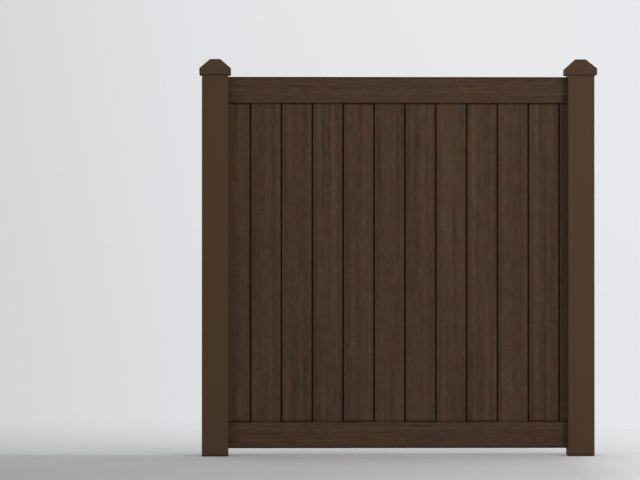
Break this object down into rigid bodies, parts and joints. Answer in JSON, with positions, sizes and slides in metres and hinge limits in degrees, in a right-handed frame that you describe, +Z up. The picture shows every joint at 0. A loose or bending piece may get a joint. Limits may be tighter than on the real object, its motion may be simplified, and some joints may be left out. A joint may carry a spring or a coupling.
{
  "type": "vinyl privacy fence panel",
  "caption": "Privacy fence bay of dark wood-grain vinyl: square posts with pyramid caps, slotted top and bottom rails, and upright tongue-and-groove boards.",
  "frame": {"origin": "on the ground in the middle of the bay, halfway through the posts' depth", "axes": "+X along the fence from the left post to the right post as seen from the front, +Y from front to back through the fence, +Z up"},
  "size_m": [1.961, 0.155, 1.9586],
  "materials": {
    "post_vinyl": "smooth extruded PVC, satin",
    "cap_vinyl": "smooth moulded PVC, satin",
    "rail_vinyl": "wood-grain film on extruded PVC, satin",
    "board_vinyl": "wood-grain film on extruded PVC, satin",
    "channel_vinyl": "smooth extruded PVC, satin",
    "galvanised_steel": "hot-dip galvanised, folded",
    "screw_steel": "zinc plated"
  },
  "bodies": {
    "root": {"post_left": "post_vinyl", "post_right": "post_vinyl", "cap_left": "cap_vinyl", "cap_right": "cap_vinyl", "top_rail": "rail_vinyl", "bottom_rail": "rail_vinyl", "bottom_rail_stiffener": "galvanised_steel", "channel_left": "channel_vinyl", "channel_right": "channel_vinyl", "channel_screws_left": "screw_steel", "channel_screws_right": "screw_steel", "board_01": "board_vinyl", "board_02": "board_vinyl", "board_03": "board_vinyl", "board_04": "board_vinyl", "board_05": "board_vinyl", "board_06": "board_vinyl", "board_07": "board_vinyl", "board_08": "board_vinyl", "board_09": "board_vinyl", "board_10": "board_vinyl", "board_11": "board_vinyl", "board_12": "board_vinyl"}
  },
  "joints": []
}
